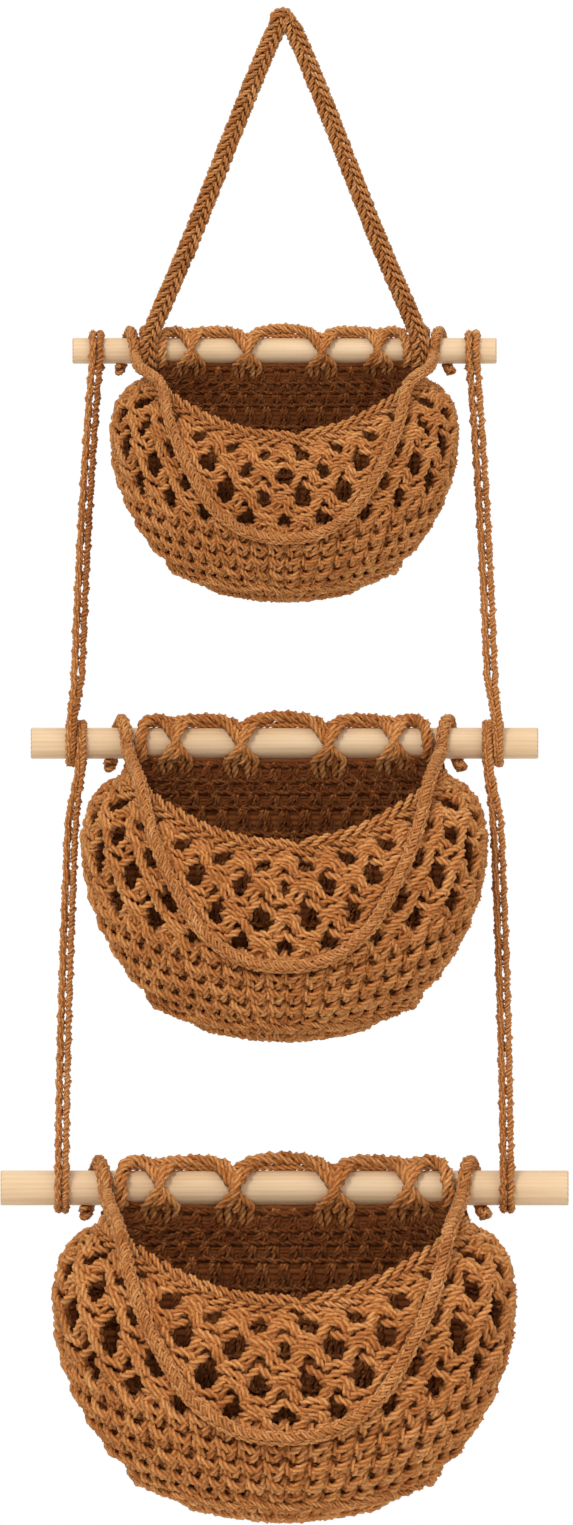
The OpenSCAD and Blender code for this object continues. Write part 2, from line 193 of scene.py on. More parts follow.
class Fabric:
    """The middle surface of one basket's fabric. A place on it is a share of the way round, from
    the middle of the front to the right, and a share of the way down, from rim to bottom."""

    columns = 480
    rows = 100

    def __init__(self, tier):
        self.tier = tier
        self.size = basket_size[tier]
        self.wall = fabric[tier]
        phi = np.radians(np.linspace(-90, 270, 3 * self.columns + 1))
        grid = []
        for row in range(self.rows + 1):
            at = row / self.rows * (len(LEVELS) - 1)
            first = min(int(at), len(LEVELS) - 2)
            level = mix(LEVELS[first], LEVELS[first + 1], at - first)
            ring = (self.ring(0, level, phi) + self.ring(self.wall, level, phi)) / 2
            grid.append(self.spread(ring))
        self.grid = self.smoothed(np.array(grid))
        across = np.roll(self.grid, -1, axis=1) - np.roll(self.grid, 1, axis=1)
        down = np.gradient(self.grid, axis=0)
        normal = np.cross(across, -down)
        normal[-1] = normal[-2] = (0, 0, -1)
        self.normal = normal / np.maximum(np.linalg.norm(normal, axis=2, keepdims=True), 1e-9)
        steps = np.linalg.norm(np.diff(self.grid, axis=1, append=self.grid[:, :1]), axis=2)
        self.round = steps.sum(axis=1)
        self.drop = np.linalg.norm(np.diff(self.grid, axis=0), axis=2).sum(axis=0).mean()

    def smoothed(self, grid):
        """The levels without the small kinks between them; rim and bottom stay."""
        kernel = np.array([1, 3, 4, 3, 1]) / 12
        padded = np.concatenate([grid[:1], grid[:1], grid, grid[-1:], grid[-1:]])
        smooth = sum(k * padded[i:i + len(grid)] for i, k in enumerate(kernel))
        smooth[0], smooth[-1] = grid[0], grid[-1]
        return smooth

    def ring(self, wall, level, phi):
        """One level's line at angles phi, with the wall's thickness taken off on each side."""
        width, depth, height = self.size
        half = (width / 2 - wall) * level[0]
        front = -(depth - wall) * level[1]
        back = -(wall + (depth - 2 * wall) * level[2])
        middle = mix(back, front, WIDEST_SHARE)
        c, s = np.cos(phi), np.sin(phi)
        ahead = s < 0
        power = np.where(ahead, 2 / FRONT_ROUND, 2 / BACK_ROUND)
        reach = np.abs(s) ** power
        to_back = (mix(level[3], level[5], s * s)
            - CORNER_LIFT * level[6] * 4 * s * s * (1 - s * s))
        to_front = mix(level[3], level[4], np.abs(s) ** 2.5)
        return np.stack([half * np.sign(c) * np.abs(c) ** power,
            np.where(ahead, mix(middle, front, reach), mix(middle, back, reach)),
            dowel_z[self.tier] - (height - wall) * np.where(ahead, to_front, to_back)], axis=1)

    def spread(self, ring):
        """The same ring with its columns equally far apart."""
        lengths = np.concatenate([[0], np.cumsum(np.linalg.norm(np.diff(ring, axis=0), axis=1))])
        places = np.arange(self.columns) / self.columns * lengths[-1]
        return np.stack([np.interp(places, lengths, ring[:, k]) for k in range(3)], axis=1)

    def place(self, turn, fall, out):
        """Points in space from shares round, shares down and distances out of the surface."""
        column = np.mod(turn, 1) * self.columns
        row = np.clip(fall, 0, 1) * self.rows
        c0 = np.floor(column).astype(int) % self.columns
        c1 = (c0 + 1) % self.columns
        r0 = np.minimum(np.floor(row).astype(int), self.rows - 1)
        u = (column - np.floor(column))[:, None]
        w = (row - r0)[:, None]

        def read(table):
            return mix(mix(table[r0, c0], table[r0, c1], u),
                mix(table[r0 + 1, c0], table[r0 + 1, c1], u), w)

        above = np.minimum(fall, 0)[:, None] * self.drop * np.array([0, 0, -1])
        return read(self.grid) + read(self.normal) * np.asarray(out)[:, None] + above

    def row_length(self, fall):
        """The way round the basket at a share down."""
        return np.interp(fall, np.linspace(0, 1, self.rows + 1), self.round)


class Route:
    """A cord's line with the direction of its side, carried along it without twist."""

    def __init__(self, points, side):
        self.points = evenly(np.asarray(points, float), 1.0)
        heading = np.gradient(self.points, axis=0)
        heading /= np.linalg.norm(heading, axis=1, keepdims=True)
        sides = []
        now = np.asarray(side, float)
        for along in heading:
            now = now - along * np.dot(now, along)
            now = now / np.linalg.norm(now)
            sides.append(now)
        self.side = np.array(sides)
        self.out = np.cross(heading, self.side)
        self.lengths = np.concatenate([[0],
            np.cumsum(np.linalg.norm(np.diff(self.points, axis=0), axis=1))])
        self.length = self.lengths[-1]

    def place(self, along, side, out):
        """Points in space from distances along the cord, to its side and out of it."""
        along = np.asarray(along, float)

        def read(table):
            return np.stack([np.interp(along, self.lengths, table[:, k]) for k in range(3)],
                axis=1)

        return (read(self.points) + read(self.side) * np.asarray(side, float)[:, None]
            + read(self.out) * np.asarray(out, float)[:, None])


PLIES = 3
PLY_REACH = 1.08
PLY_GROOVE = 0.66


def ply_profile():
    """The section of a yarn of twisted plies."""
    data = bpy.data.curves.new("ply_profile", "CURVE")
    data.dimensions = "2D"
    spline = data.splines.new("POLY")
    count = 2 * PLIES
    spline.points.add(count - 1)
    for k in range(count):
        reach = PLY_GROOVE if k % 2 else PLY_REACH
        turn = 2 * math.pi * k / count
        spline.points[k].co = (reach * math.cos(turn), reach * math.sin(turn), 0, 1)
    spline.use_cyclic_u = True
    made = bpy.data.objects.new("ply_profile", data)
    scene.collection.objects.link(made)
    return made


profile = ply_profile()


class Work:
    """The yarn of one piece: strands are gathered, then made into one mesh."""

    # A full turn of the plies in yarn diameters, and at how many places a strand's depth is kept
    twist = 3.2
    inner_marks = 24

    def __init__(self, name, finish, body, slot, step=1.9):
        self.name = name
        self.finish = finish
        self.body = body
        self.slot = slot
        self.step = step
        self.strands = []

    def lay(self, points, radius, taper=True, inner=0.0):
        """Lay one strand through these points, each with a share of painted shade from 0 to 1 for
        how far it lies inside.
        """
        points = np.asarray(points, float)
        inner = np.broadcast_to(inner, len(points))
        marks = np.linspace(0, 1, self.inner_marks)
        inner = np.interp(marks, np.linspace(0, 1, len(points)), inner)
        points = evenly(points, self.step * radius / yarn_radius[LOWER])
        share = np.linspace(0, 1, len(points))
        inner = np.interp(share, marks, inner)
        width = np.full(len(points), float(radius))
        if taper:
            width *= 1 - 0.3 * np.clip(1 - np.minimum(share, 1 - share) / 0.16, 0, 1)
        self.strands.append((points, width, radius, inner))

    def make(self, *nodes):
        """Turn the strands into one mesh that stands for these nodes."""
        data = bpy.data.curves.new(self.name, "CURVE")
        data.dimensions = "3D"
        data.bevel_mode = "OBJECT"
        data.bevel_object = profile
        data.use_fill_caps = True
        data.twist_mode = "MINIMUM"
        along, tone, inside = [], [], []
        for points, width, radius, inner in self.strands:
            count = len(points)
            lengths = np.concatenate([[0],
                np.cumsum(np.linalg.norm(np.diff(points, axis=0), axis=1))])
            start = rng.uniform(0, 2 * math.pi)
            spline = data.splines.new("POLY")
            spline.points.add(count - 1)
            spline.points.foreach_set("co",
                np.hstack([points * MM, np.ones((count, 1))]).ravel())
            spline.points.foreach_set("radius", width * MM)
            spline.points.foreach_set("tilt",
                start + 2 * math.pi * lengths / (self.twist * 2 * radius))
            along.append(lengths + rng.uniform(0, 400))
            tone.append(np.full(count, rng.uniform(0, 1)))
            inside.append(inner)
        drawn = bpy.data.objects.new(self.name + "_line", data)
        scene.collection.objects.link(drawn)
        shape = drawn.evaluated_get(bpy.context.evaluated_depsgraph_get())
        mesh = bpy.data.meshes.new_from_object(shape)
        mesh.name = self.name
        bpy.data.objects.remove(drawn)
        self.mark(mesh, along, tone, inside)
        mesh.materials.clear()
        mesh.materials.append(self.finish)
        mesh.shade_smooth()
        made = bpy.data.objects.new(self.name, mesh)
        scene.collection.objects.link(made)
        if nodes:
            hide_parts(*nodes)
        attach(made, self.body)
        return made

    def mark(self, mesh, along, tone, inside):
        """Write where each point lies on its yarn, for the yarn's finish."""
        sides = len(profile.data.splines[0].points)
        turn = np.arange(sides) / sides * 2 * math.pi
        lobe = np.where(np.arange(sides) % 2 == 0, 1.0, 0.0)

        def rings(at, value, inner):
            count = len(at)
            return (np.stack([np.repeat(at, sides), np.tile(np.cos(turn), count),
                np.tile(np.sin(turn), count)], axis=1),
                np.repeat(value, sides), np.tile(lobe, count), np.repeat(inner, sides))

        parts = []
        lines = list(zip(along, tone, inside))
        for line in reversed(lines):
            parts.append(rings(*(value[-1:] for value in line)))
            parts.append(rings(*(value[:1] for value in line)))
        parts += [rings(*line) for line in lines]
        yarn, *marks = (np.concatenate([part[k] for part in parts]) for k in range(4))
        if len(yarn) != len(mesh.vertices):
            raise RuntimeError(f"{self.name}: {len(yarn)} marks for {len(mesh.vertices)} points")
        layer = mesh.attributes.new("yarn", "FLOAT_VECTOR", "POINT")
        layer.data.foreach_set("vector", yarn.astype(np.float32).ravel())
        for name, values in zip(("tone", "ply", "inner"), marks):
            layer = mesh.attributes.new(name, "FLOAT", "POINT")
            layer.data.foreach_set("value", values.astype(np.float32))


class Link:
    """A node's output, so that shader maths reads as plain arithmetic."""

    def __init__(self, finish, socket):
        self.finish = finish
        self.socket = socket

    def worked(self, operation, *values):
        return self.finish.node("ShaderNodeMath", {"operation": operation}, values)

    def __add__(self, other):
        return self.worked("ADD", self, other)

    def __sub__(self, other):
        return self.worked("SUBTRACT", self, other)

    def __rsub__(self, other):
        return self.worked("SUBTRACT", other, self)

    def __mul__(self, other):
        return self.worked("MULTIPLY", self, other)

    def __pow__(self, other):
        return self.worked("POWER", self, other)


class Finish:
    """A material and its nodes."""

    def __init__(self, name):
        self.material = bpy.data.materials.new(name)
        self.material.use_nodes = True
        self.tree = self.material.node_tree
        self.tree.nodes.clear()
        self.shader = self.tree.nodes.new("ShaderNodeBsdfPrincipled")
        end = self.tree.nodes.new("ShaderNodeOutputMaterial")
        self.tree.links.new(self.shader.outputs[0], end.inputs["Surface"])

    def fill(self, node, values):
        """Set or link a node's inputs, by place or by name."""
        pairs = values.items() if isinstance(values, dict) else enumerate(values)
        for key, value in pairs:
            if isinstance(value, Link):
                self.tree.links.new(value.socket, node.inputs[key])
            else:
                node.inputs[key].default_value = value

    def node(self, kind, settings, values, output=0):
        """A new node with its settings and inputs, as the link from one of its outputs."""
        made = self.tree.nodes.new(kind)
        for key, value in settings.items():
            if key == "stops":
                stops = made.color_ramp.elements
                while len(stops) < len(value):
                    stops.new(1)
                for stop, (place, colour) in zip(stops, value):
                    stop.position = place
                    stop.color = (*colour, 1)
            else:
                setattr(made, key, value)
        self.fill(made, values)
        return Link(self, made.outputs[output])

    def read(self, name, output="Fac"):
        """A value that the mesh carries."""
        return self.node("ShaderNodeAttribute", {"attribute_name": name}, (), output)

    def stretched(self, vector, scale):
        return self.node("ShaderNodeVectorMath", {"operation": "MULTIPLY"}, [vector, scale])

    def noise(self, vector, scale, detail, rough):
        return self.node("ShaderNodeTexNoise", {},
            {"Vector": vector, "Scale": scale, "Detail": detail, "Roughness": rough})

    def blend(self, share, first, second, kind="MIX"):
        made = self.tree.nodes.new("ShaderNodeMix")
        made.data_type = "RGBA"
        made.blend_type = kind
        made.clamp_factor = True
        self.fill(made, {0: share, 6: first, 7: second})
        return Link(self, made.outputs[2])

    def ramp(self, value, *stops):
        return self.node("ShaderNodeValToRGB", {"stops": stops}, [value])

    def ranged(self, value, low, high, to_low=0.0, to_high=1.0):
        return self.node("ShaderNodeMapRange", {}, [value, low, high, to_low, to_high])

    def bump(self, height, strength, distance):
        return self.node("ShaderNodeBump", {},
            {"Height": height, "Strength": strength, "Distance": distance})


def yarn_finish(name, deep, body, lit, warm):
    """Matt cotton yarn: twisted plies, fine fibres along them and uneven dye."""
    f = Finish(name)
    yarn = f.read("yarn", "Vector")
    fibres = f.noise(f.stretched(yarn, (0.16, 1.5, 1.5)), 2.6, 3.0, 0.6)
    hairs = f.noise(f.stretched(yarn, (0.30, 4.2, 4.2)), 2.2, 2.0, 0.5)
    place = f.node("ShaderNodeTexCoord", {}, (), "Object")
    dye = f.noise(place, 38.0, 2.0, 0.5)
    tone = f.read("tone")
    ply = f.read("ply")
    shade = f.ranged(fibres * 0.55 + hairs * 0.25 + dye * 0.2 + tone * 0.16, 0.34, 0.78)
    colour = f.ramp(shade, (0.0, deep), (0.42, body), (0.78, lit), (1.0, warm))
    # Painted shade: the colour is darkened between plies and deep in the fabric, where light is
    # lost, blue most and red least
    painted_shade = f.ranged(ply, 0.0, 0.6, 0.42, 1.0) * (1 - f.read("inner") * 0.72)
    left = f.node("ShaderNodeCombineColor", {}, [painted_shade, painted_shade ** 1.3, painted_shade ** 1.55])
    shaded = f.blend(1.0, colour, left, "MULTIPLY")
    f.fill(f.shader, {"Base Color": shaded, "Roughness": f.ranged(hairs, 0.2, 0.8, 0.68, 0.86),
        "Normal": f.bump(fibres * 0.6 + hairs * 0.5 + ply * 0.35, 0.55, 0.0006)})
    f.shader.inputs["Sheen Weight"].default_value = 0.10
    f.shader.inputs["Sheen Roughness"].default_value = 0.5
    f.shader.inputs["Sheen Tint"].default_value = (1.0, 0.72, 0.42, 1)
    f.shader.inputs["Specular IOR Level"].default_value = 0.08
    return f.material


def wood_finish(tier):
    """Pale sanded wood: grain along the dowel and rings on its ends."""
    f = Finish(f"{TIERS[tier]}_dowel_wood")
    place = f.node("ShaderNodeTexCoord", {}, (), "Object")
    turned = f.node("ShaderNodeMapping", {"vector_type": "POINT"},
        {"Vector": place, "Location": (0, 0, -dowel_z[tier] * MM)})
    x, y, z = (f.node("ShaderNodeSeparateXYZ", {}, [turned], k) for k in range(3))
    grain = f.noise(f.stretched(turned, (9, 320, 320)), 1.0, 4.0, 0.62)
    pores = f.noise(f.stretched(turned, (60, 1500, 1500)), 1.0, 2.0, 0.5)
    cloud = f.noise(f.stretched(turned, (14, 60, 60)), 1.0, 2.0, 0.5)
    pith = 4 * MM
    off = f.noise(f.stretched(turned, (4, 30, 30)), 1.0, 1.0, 0.5) * 0.006
    height = z - off - pith
    radius = (y * y + height * height) ** 0.5
    rings = f.node("ShaderNodeMath", {"operation": "SINE"}, [radius * 3400.0]) * 0.5 + 0.5
    half = (dowel_box[tier][1][0] - 0.9) * MM
    end = f.node("ShaderNodeMath", {"operation": "GREATER_THAN"},
        [f.node("ShaderNodeMath", {"operation": "ABSOLUTE"}, [x]), half])
    shade = f.ranged(grain * 0.50 + cloud * 0.33 + rings * 0.09 + pores * 0.08, 0.30, 0.74)
    colour = f.ramp(shade, (0.0, (0.62, 0.400, 0.215)), (0.35, (0.715, 0.495, 0.285)),
        (0.7, (0.775, 0.565, 0.350)), (1.0, (0.83, 0.630, 0.415)))
    cut = f.ramp(rings * 0.6 + pores * 0.5, (0.0, (0.47, 0.28, 0.14)), (1.0, (0.74, 0.52, 0.32)))
    f.fill(f.shader, {"Base Color": f.blend(end, colour, cut),
        "Roughness": f.ranged(grain, 0.3, 0.7, 0.46, 0.62),
        "Normal": f.bump(grain * 0.5 + pores * 0.5, 0.25, 0.0003)})
    f.shader.inputs["Specular IOR Level"].default_value = 0.35
    return f.material


crochet = yarn_finish("crochet_cotton", (0.30, 0.088, 0.020), (0.60, 0.225, 0.060),
    (0.80, 0.365, 0.120), (0.96, 0.54, 0.22))
corded = yarn_finish("cord_cotton", (0.30, 0.095, 0.025), (0.585, 0.228, 0.065),
    (0.77, 0.36, 0.125), (0.93, 0.54, 0.235))

# A stitch is drawn in stitch widths to the right, row heights down and yarn diameters out
OPEN_STITCH = (
    ((-0.25, 0.56, -0.4), (-0.28, 0.44, 0.4), (-0.12, 0.30, 1.15), (0.10, 0.20, 1.20),
        (0.25, 0.15, 0.5), (0.26, 0.26, -0.4)),
    ((0.25, 0.62, -0.4), (0.25, 0.50, 0.5), (0.07, 0.38, 0.95), (-0.12, 0.46, 0.95),
        (-0.25, 0.34, 0.3), (-0.20, 0.20, -0.4)),
    ((-0.20, 0.18, -0.3), (-0.23, 0.03, 0.5), (-0.06, -0.05, 1.0), (0.10, -0.01, 0.95),
        (0.21, 0.10, 0.4), (0.10, 0.20, -0.3)),
    ((-0.08, 0.34, -0.2), (-0.15, 0.52, 0.75), (-0.25, 0.72, 0.80), (-0.37, 0.92, 0.60),
        (-0.43, 1.10, -0.2)),
    ((0.00, 0.46, -0.3), (-0.10, 0.62, 0.45), (-0.17, 0.84, 0.50), (-0.27, 1.04, 0.30),
        (-0.32, 1.16, -0.4)),
    ((0.08, 0.34, -0.2), (0.15, 0.52, 0.80), (0.25, 0.72, 0.75), (0.37, 0.92, 0.50),
        (0.43, 1.10, -0.2)),
    ((0.00, 0.46, -0.4), (0.10, 0.62, 0.40), (0.17, 0.84, 0.45), (0.27, 1.04, 0.20),
        (0.32, 1.16, -0.5)),
    ((-0.26, 0.36, -0.5), (-0.08, 0.30, -0.9), (0.10, 0.34, -0.9), (0.27, 0.40, -0.5)),
    ((-0.24, 0.76, -0.3), (-0.16, 0.60, 0.5), (0.00, 0.54, 0.75), (0.16, 0.61, 0.5),
        (0.24, 0.78, -0.3)),
    ((-0.12, 0.34, 0.0), (-0.27, 0.25, 0.75), (-0.42, 0.08, 0.85), (-0.54, -0.10, 0.0)))
RIB_STITCH = (
    ((-0.40, -0.10, -0.5), (-0.42, 0.12, 0.45), (-0.27, 0.45, 0.95), (-0.09, 0.80, 0.75),
        (0.02, 1.05, -0.3)),
    ((0.40, -0.10, -0.5), (0.42, 0.14, 0.40), (0.28, 0.47, 0.85), (0.12, 0.80, 0.65),
        (0.04, 1.05, -0.4)),
    ((-0.47, 0.60, -0.6), (-0.40, 0.48, 0.35), (-0.08, 0.27, 1.35), (0.20, 0.10, 1.20),
        (0.38, -0.02, 0.35), (0.44, -0.04, -0.5)),
    ((0.49, 1.02, -0.4), (0.48, 0.72, 0.12), (0.47, 0.40, 0.12), (0.49, 0.10, -0.4)))
FRINGE = (
    ((-0.42, 1.12, -0.1), (-0.30, 0.80, -0.75), (-0.16, 0.45, -0.85), (-0.08, 0.06, -0.4),
        (-0.04, -0.06, 0.2)),
    ((0.42, 1.12, -0.1), (0.28, 0.80, -0.70), (0.14, 0.45, -0.80), (0.06, 0.06, -0.4),
        (0.02, -0.06, 0.2)),
    ((0.02, 1.15, 0.0), (0.04, 0.80, -0.55), (-0.01, 0.45, -0.55), (0.00, 0.05, 0.0)))
BACK_STITCH = (
    ((-0.34, 1.10, -0.2), (-0.30, 0.80, 0.55), (-0.10, 0.45, 0.95), (0.12, 0.12, 0.70),
        (0.30, -0.05, -0.1)),
    ((0.30, 1.12, -0.2), (0.26, 0.85, 0.50), (0.12, 0.60, 0.60), (-0.12, 0.28, 0.60),
        (-0.30, 0.02, -0.1)))
CHAIN_TOP = (
    ((-0.62, 0.14, -0.1), (-0.25, 0.03, -0.80), (0.20, 0.00, -0.85), (0.58, 0.12, -0.2)),
    ((-0.62, 0.14, 0.3), (-0.25, 0.03, 0.85), (0.20, 0.00, 0.90), (0.58, 0.12, 0.2)))


WOBBLE = 0.05


def relief(turn, fall):
    """How far stitches stand out: less at the sides, under the cords, and less at the bottom."""
    at_side = 0.24 * math.exp(-((turn - 0.27) / 0.06) ** 2)
    at_bottom = 0.5 * min(max((fall - 0.8) / 0.12, 0), 1)
    return (0.74 - at_side) * (1 - at_bottom)


def stitch(work, cloth, shapes, turn, falls, width, radius, both):
    """One stitch at a share round, between two shares down, and for both its mirror image."""
    top, bottom = falls
    middle = (top + bottom) / 2
    around = cloth.row_length(middle)
    height = 2 * radius * relief(turn, middle)
    shift = rng.normal(0, WOBBLE, 3)
    for shape in shapes:
        p = curve(shape, 4)
        p = p + rng.normal(0, WOBBLE, 3) * np.array([0.6, 0.5, 1.0])
        across = (p[:, 0] + shift[0] * 0.6) * width / around
        fall = top + (bottom - top) * (p[:, 1] + shift[1] * 0.4)
        points = cloth.place(turn + across, fall, (p[:, 2] + shift[2]) * height)
        # Strand parts that dive into the fabric are darkened as painted shade.
        inner = np.interp(p[:, 2], (-0.8, 0.4), (1, 0))
        work.lay(points, radius, inner=inner)
        if both:
            work.lay(flipped(points), radius, inner=inner)


def row(work, cloth, shapes, first, last, falls, count, radius, phase=0.5, ends=(False, False)):
    """A row of stitches from one share round to another, with its mirror image. At phase 0 a
    stitch sits on each end, and ends says which of them lies on the middle and has no image."""
    width = cloth.row_length(sum(falls) / 2) * (last - first) / count
    for k in range(count + (phase == 0)):
        alone = phase == 0 and ((k == 0 and ends[0]) or (k == count and ends[1]))
        at = first + (last - first) * (k + phase) / count
        stitch(work, cloth, shapes, at, falls, width, radius, not alone)


def rounds(work, cloth, first, last, falls, out, radius):
    """Plain, slightly wavy rounds of yarn that lie on one side of the fabric."""
    waves = 31
    for fall in falls:
        turn = np.linspace(first, last, 160)
        bumps = np.sin(turn * 2 * math.pi * waves + rng.uniform(0, 6))
        points = cloth.place(turn, fall + 0.004 * bumps, (out + 0.09 * bumps) * 2 * radius)
        # Rounds that lie deeper in the fabric are darkened as painted shade.
        work.lay(points, radius, taper=False, inner=float(np.interp(out, (-0.6, 0.5), (1, 0))))


# A basket's rows, as shares down, and the shares round where they end
OPEN_ROWS = (0.03, 0.135, 0.24, 0.345, 0.43)
RIB_ROWS = (0.41, 0.475, 0.54, 0.605, 0.67, 0.73, 0.79, 0.85, 0.90, 0.945, 0.985)
BACK_ROWS = np.linspace(-0.035, 0.83, 12)
FRONT_END = 0.335
MIDDLE_BACK = 0.5


def basket(tier, cloth):
    """One crocheted half bowl: the open rows, the ribbed rows and the back wall."""
    openwork(tier, cloth)
    ribs(tier, cloth)
    inside(tier, cloth)
    back_wall(tier, cloth)


def basket_work(tier, part, **options):
    """The yarn of one of a basket's pieces."""
    body = f"{TIERS[tier]}_basket"
    return Work(f"{body}_{part}", crochet, body, "crochet", **options)


def openwork(tier, cloth):
    """The open net below the rim. It stands for the basket's fabric shell."""
    work = basket_work(tier, "openwork")
    for k, falls in enumerate(zip(OPEN_ROWS, OPEN_ROWS[1:])):
        row(work, cloth, OPEN_STITCH, 0, FRONT_END, falls, 7, yarn_radius[tier] * 1.26,
            phase=0.5 if k % 2 else 0, ends=(True, False))
    work.make(f"{TIERS[tier]}_basket")


def ribs(tier, cloth):
    """The ribbed rows below the net, the lowest three all the way round, and the rope ridge."""
    radius = yarn_radius[tier]
    work = basket_work(tier, "ribs")
    for k, falls in enumerate(zip(RIB_ROWS, RIB_ROWS[1:])):
        far, count = (FRONT_END, 15) if k < 7 else (MIDDLE_BACK, 14 if k < 9 else 8)
        row(work, cloth, RIB_STITCH, 0, far, falls, count, radius * 1.22)
    turn = np.linspace(-0.36, 0.36, 240)
    fall = 0.700 + 0.008 * np.cos(2 * math.pi * turn * 12)
    out = 3.1 * radius * np.clip((0.345 - np.abs(turn)) / 0.03, -0.5, 1)
    ridge = Route(cloth.place(turn, fall, out), (0, 0, 1))
    twisted(work, ridge, 2, 0.62 * radius, 0.84 * radius, 8 * radius)
    work.make()


def inside(tier, cloth):
    """The plain rounds that close the basket behind its ribbed rows."""
    radius = yarn_radius[tier]
    work = basket_work(tier, "inside", step=3.0)
    rounds(work, cloth, -FRONT_END, FRONT_END, np.arange(0.43, 0.83, 0.022), -0.12, radius * 0.95)
    rounds(work, cloth, -0.5, 0.5, np.arange(0.83, 1.0, 0.024), -0.35, radius)
    work.make()


def back_wall(tier, cloth):
    """The back wall's crossed stitches on both of its faces, with the lining between them."""
    radius = yarn_radius[tier]
    work = basket_work(tier, "back", step=2.8)
    for k, falls in enumerate(zip(BACK_ROWS, BACK_ROWS[1:])):
        options = dict(phase=0.0 if k % 2 else 0.5, ends=(False, True))
        row(work, cloth, FRINGE, 0.31, MIDDLE_BACK, falls, 9, radius, **options)
        row(work, cloth, BACK_STITCH, 0.325, MIDDLE_BACK, falls, 8, radius, **options)
        row(work, cloth, CHAIN_TOP, 0.31, MIDDLE_BACK, falls, 10, radius, **options)
    lining(tier, cloth)
    work.make()


# The lining's columns and lines, and the shares round and down between which it lies
LINING_COLUMNS = 110
LINING_LINES = 108
LINING_TURNS = (0.275, 0.725)
LINING_FALLS = (-0.055, 0.84)


def lining(tier, cloth):
    """The tight rounds within the back wall, one closed sheet with a ridge for each round, darkened
    as painted shade.
    """
    radius = yarn_radius[tier]
    last = LINING_LINES
    mesh = bmesh.new()
    bmesh.ops.create_grid(mesh, x_segments=LINING_COLUMNS, y_segments=2 * last, size=0.5)
    marks = {name: mesh.verts.layers.float.new(name) for name in ("tone", "ply", "inner")}
    yarn = mesh.verts.layers.float_vector.new("yarn")
    tones = rng.uniform(0, 1, last + 1)
    for v in mesh.verts:
        x, y = v.co[:2]
        turn = mix(*LINING_TURNS, x + 0.5)
        at = round((y + 0.5) * 2 * last)
        outer = at > last
        line = 2 * last - at if outer else at
        ridge = line % 2
        reach = 0.45 * radius
        if ridge:
            bump = math.sin(turn * 2 * math.pi * 24 + 2.0 * (line // 2))
            reach += (0.40 + 0.30 * bump) * radius
        if not outer:
            reach = -reach
        if line in (0, last):
            reach = 0
        fall = mix(*LINING_FALLS, line / last)
        v.co = cloth.place(np.array([turn]), np.array([fall]), [reach])[0] * MM
        v[yarn] = (x * 300 + 7 * line, math.cos(2.4 * line), math.sin(2.4 * line))
        v[marks["tone"]] = tones[line // 2]
        # Painted shade: the finish darkens the grooves between ridges and the whole sheet, the face
        # towards the basket's inside most.
        v[marks["ply"]] = float(ridge)
        v[marks["inner"]] = 0.8 if outer else 1.0
    bmesh.ops.remove_doubles(mesh, verts=mesh.verts, dist=0.00001)
    bmesh.ops.holes_fill(mesh, edges=[e for e in mesh.edges if e.is_boundary], sides=0)
    bmesh.ops.recalc_face_normals(mesh, faces=mesh.faces)
    name = f"{TIERS[tier]}_basket_lining"
    data = bpy.data.meshes.new(name)
    mesh.to_mesh(data)
    mesh.free()
    data.materials.append(crochet)
    data.shade_smooth()
    made = bpy.data.objects.new(name, data)
    scene.collection.objects.link(made)
    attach(made, f"{TIERS[tier]}_basket")


# A braid's leaf: how far along in pitches, to the side in half widths, and out in heights
LEAF = ((-0.45, 0.86, -0.7), (-0.22, 1.00, 0.05), (0.20, 0.84, 0.75), (0.70, 0.42, 0.90),
    (1.05, 0.08, 0.45), (1.20, -0.06, -0.3))


def braid(work, route, pitch, half_width, height, radius, turned, meet=None):
    """Two rows of leaves that point along a route and meet on its middle line. They are turned
    about the route by some degrees, and point the other way after the distance meet."""
    count = int(route.length / pitch)
    pitch = route.length / count
    c, s = math.cos(math.radians(turned)), math.sin(math.radians(turned))
    for k in range(count):
        for side in (-1, 1):
            start = (k + (0.5 if side > 0 else 0)) * pitch
            p = curve(LEAF, 3) + rng.normal(0, 0.03, 3)
            way = 1
            if meet is not None and start > meet:
                way = -1
                start += pitch
            across = side * p[:, 1] * half_width
            out = p[:, 2] * height
            at = np.clip(start + way * p[:, 0] * pitch, 0, route.length)
            work.lay(route.place(at, across * c - out * s, across * s + out * c), radius)


def core(work, route, inset, count, radius, inner=0.0):
    """A plain strand along a route's middle, which fills the room between others."""
    at = np.linspace(inset, route.length - inset, count)
    work.lay(route.place(at, np.zeros(count), np.zeros(count)), radius, inner=inner)


def rim(tier, cloth):
    """The braid on the basket's rim, its leaves pointing from the corners to the middle."""
    name = TIERS[tier]
    work = Work(f"{name}_rim_chain", crochet, f"{name}_basket", "crochet")
    level = LEVELS[0]
    phi = np.radians(np.linspace(174, 366, 121))
    middle = (cloth.ring(0, level, phi) + cloth.ring(cloth.wall, level, phi)) / 2
    middle[:, 2] += cloth.wall * 0.62 + lie_gap
    route = Route(middle, (0, 0, 1))
    scale = yarn_radius[tier] / yarn_radius[LOWER]
    braid(work, route, 10.4 * scale, 5.9 * scale, 2.9 * scale, 2.35 * scale, turned=-35,
        meet=route.length / 2)
    core(work, route, 2, 90, 2.2 * scale)
    work.make(f"{name}_rim_braid")


def edge_chain(tier):
    """The scalloped chain over the dowel, its ends coming down in front of it."""
    name = TIERS[tier]
    radius = chain_radius[tier]
    seat = dowel_radius[tier] + lie_gap + radius
    width = basket_size[tier][0]
    half = np.array(CHAIN_ROUTE)
    left = half * (-1, 1, 1)
    line = curve(np.vstack([left, half[-2::-1]]), 4)
    points = round_dowel(line[:, 0] * width, dowel_z[tier], seat + line[:, 2] * radius * 0.62,
        line[:, 1])
    route = Route(points, (1, 0, 0))
    work = Work(f"{name}_edge_cord", crochet, f"{name}_basket", "crochet")
    twisted(work, route, 3, radius * 0.62, radius * 0.68, 8.6 * radius)
    under = round_dowel(line[:, 0] * width, dowel_z[tier], seat - 0.60 * radius, line[:, 1])
    work.lay(under, radius * 0.58)
    work.make(f"{name}_edge_chain")


